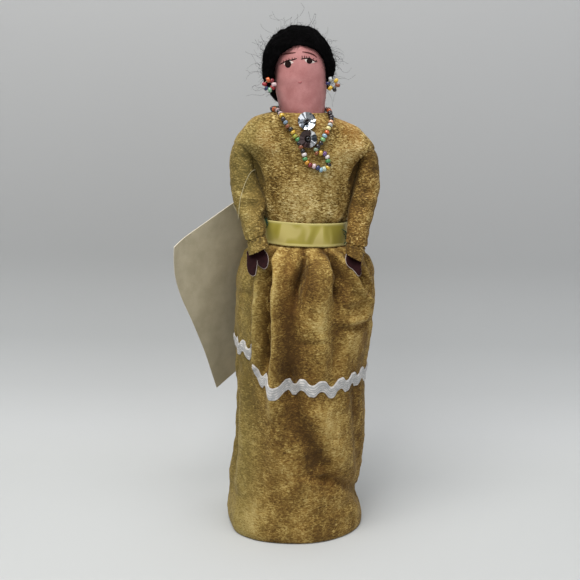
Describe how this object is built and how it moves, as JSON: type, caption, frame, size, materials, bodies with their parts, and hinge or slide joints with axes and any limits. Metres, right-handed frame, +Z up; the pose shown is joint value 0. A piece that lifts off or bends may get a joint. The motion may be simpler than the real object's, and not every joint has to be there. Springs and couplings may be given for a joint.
{
  "type": "cloth doll",
  "caption": "A stuffed cloth doll in a crushed-velvet dress with a ribbon belt, rickrack trim, felted hair, seed-bead jewellery and a bare card tag.",
  "frame": {"origin": "centre of the underside of the oval base", "axes": "+Z up from base to hair, -Y the way the doll faces, -X towards the doll's own right arm"},
  "size_m": [0.1129, 0.0822, 0.281],
  "materials": {
    "velvet": "crushed pile",
    "satin_ribbon": "satin",
    "rickrack": "matte woven",
    "pink_cloth": "smooth stretched",
    "wool_felt": "matte fibres",
    "leatherette": "satin",
    "muslin": "matte woven",
    "grey_card": "matte",
    "tag_board": "matte",
    "thread": "matte",
    "silvered_film": "mirror",
    "bead_orange": "gloss",
    "bead_red": "gloss",
    "bead_white": "gloss",
    "bead_green": "gloss",
    "bead_navy": "gloss",
    "bead_mauve": "gloss",
    "bead_yellow": "gloss",
    "bead_black": "gloss",
    "bead_brown": "gloss",
    "bead_grey": "gloss"
  },
  "bodies": {
    "doll": {"base_disc": "grey_card", "stuffed_body": "muslin", "bodice": "velvet", "skirt": "velvet", "belt": "satin_ribbon", "rickrack_trim": "rickrack", "head": "pink_cloth", "hair_cap": "wool_felt", "hair_lock": "wool_felt", "sequin_upper": "silvered_film", "sequin_lower": "silvered_film", "sequin_bead_upper": "bead_black", "sequin_bead_lower": "bead_black"},
    "right_arm": {"sleeve_right": "velvet", "arm_stuffing_right": "muslin", "tag_thread": "thread"},
    "left_arm": {"sleeve_left": "velvet", "arm_stuffing_left": "muslin"},
    "right_hand": {"hand_right": "leatherette"},
    "left_hand": {"hand_left": "leatherette"},
    "tag": {"tag_card": "tag_board"},
    "right_earring": {"earring_thread_right": "thread", "earring_right_bead_1": "bead_orange", "earring_right_bead_2": "bead_red", "earring_right_bead_3": "bead_white", "earring_right_bead_4": "bead_brown", "earring_right_bead_5": "bead_green", "earring_right_bead_6": "bead_navy", "earring_right_bead_7": "bead_mauve"},
    "left_earring": {"earring_thread_left": "thread", "earring_left_bead_1": "bead_grey", "earring_left_bead_2": "bead_yellow", "earring_left_bead_3": "bead_brown", "earring_left_bead_4": "bead_black", "earring_left_bead_5": "bead_orange", "earring_left_bead_6": "bead_navy"},
    "neck_strand": {"necklace": "bead_yellow"}
  },
  "joints": [
    {"name": "shoulder_right", "type": "hinge", "parent": "doll", "child": "right_arm", "pos_m": [-0.033, 0, 0.2113], "axis": [0, 1, 0], "range_deg": [0, 45]},
    {"name": "shoulder_left", "type": "hinge", "parent": "doll", "child": "left_arm", "pos_m": [0.033, 0, 0.2113], "axis": [0, -1, 0], "range_deg": [0, 45]},
    {"name": "wrist_right", "type": "hinge", "parent": "right_arm", "child": "right_hand", "pos_m": [-0.0246, -0.0225, 0.1617], "axis": [-0.8988, 0, -0.4384], "range_deg": [0, 20], "stiffness_Nm_per_rad": 0.0005},
    {"name": "wrist_left", "type": "hinge", "parent": "left_arm", "child": "left_hand", "pos_m": [0.0276, -0.0225, 0.1617], "axis": [-0.8988, 0, 0.4384], "range_deg": [0, 20], "stiffness_Nm_per_rad": 0.0005},
    {"name": "tag_swing", "type": "hinge", "parent": "right_arm", "child": "tag", "pos_m": [-0.0366, 0.0144, 0.183], "axis": [-0.6655, 0.7391, 0.1045], "range_deg": [-30, 12]},
    {"name": "earring_right_swing", "type": "hinge", "parent": "doll", "child": "right_earring", "pos_m": [-0.021, -0.0099, 0.2537], "axis": [-1, 0, 0], "range_deg": [0, 30]},
    {"name": "earring_left_swing", "type": "hinge", "parent": "doll", "child": "left_earring", "pos_m": [0.0142, -0.00722, 0.2537], "axis": [-1, 0, 0], "range_deg": [0, 30]},
    {"name": "necklace_lift", "type": "hinge", "parent": "doll", "child": "neck_strand", "pos_m": [-0.0034, 0.01507, 0.2374], "axis": [-1, 0, 0], "range_deg": [0, 16]}
  ]
}
